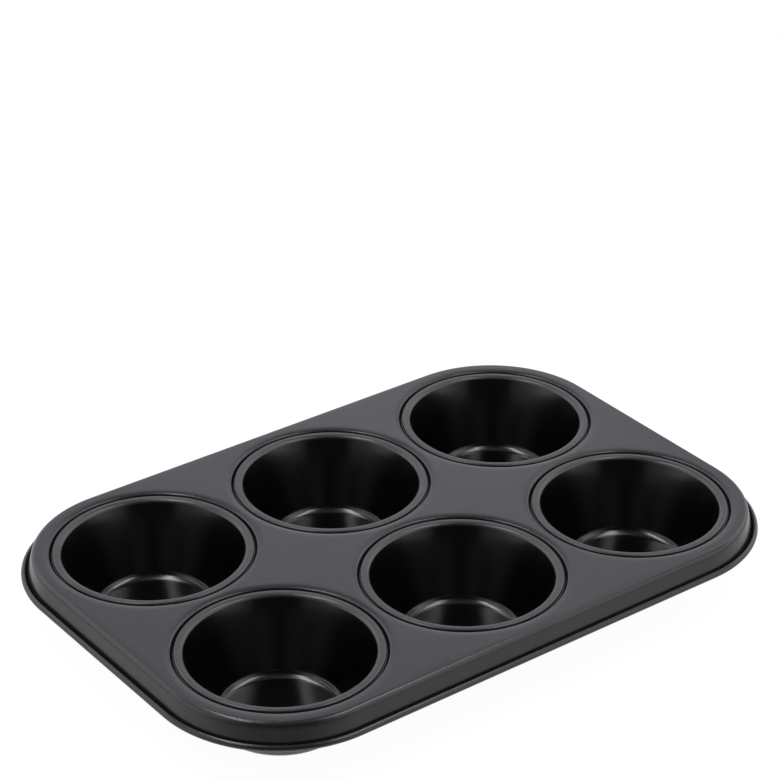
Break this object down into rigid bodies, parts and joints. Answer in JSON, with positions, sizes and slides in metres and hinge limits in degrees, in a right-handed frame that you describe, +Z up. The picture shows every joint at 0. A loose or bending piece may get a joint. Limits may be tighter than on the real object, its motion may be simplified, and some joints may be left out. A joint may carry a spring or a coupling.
{
  "type": "muffin pan",
  "caption": "Shallow steel baking pan: flat deck with rounded corners, sloping skirt and wired rolled edge, holding tapered drawn cups locked into its holes by their turned lips.",
  "frame": {"origin": "on the surface the pan stands on, below the middle of the deck", "axes": "+X along the long side, to the right in a front view; +Y from the front row to the back row; +Z up out of the cups"},
  "size_m": [0.2656, 0.1828, 0.03],
  "materials": {
    "tray_coating": "satin charcoal non-stick coating on steel sheet",
    "cup_coating": "satin black non-stick coating on drawn steel",
    "wire_steel": "dark drawn steel wire, nearly hidden inside the curl"
  },
  "bodies": {
    "root": {"tray": "tray_coating", "cup_front_left": "cup_coating", "cup_front_middle": "cup_coating", "cup_front_right": "cup_coating", "cup_back_left": "cup_coating", "cup_back_middle": "cup_coating", "cup_back_right": "cup_coating", "rim_wire": "wire_steel"}
  },
  "joints": []
}
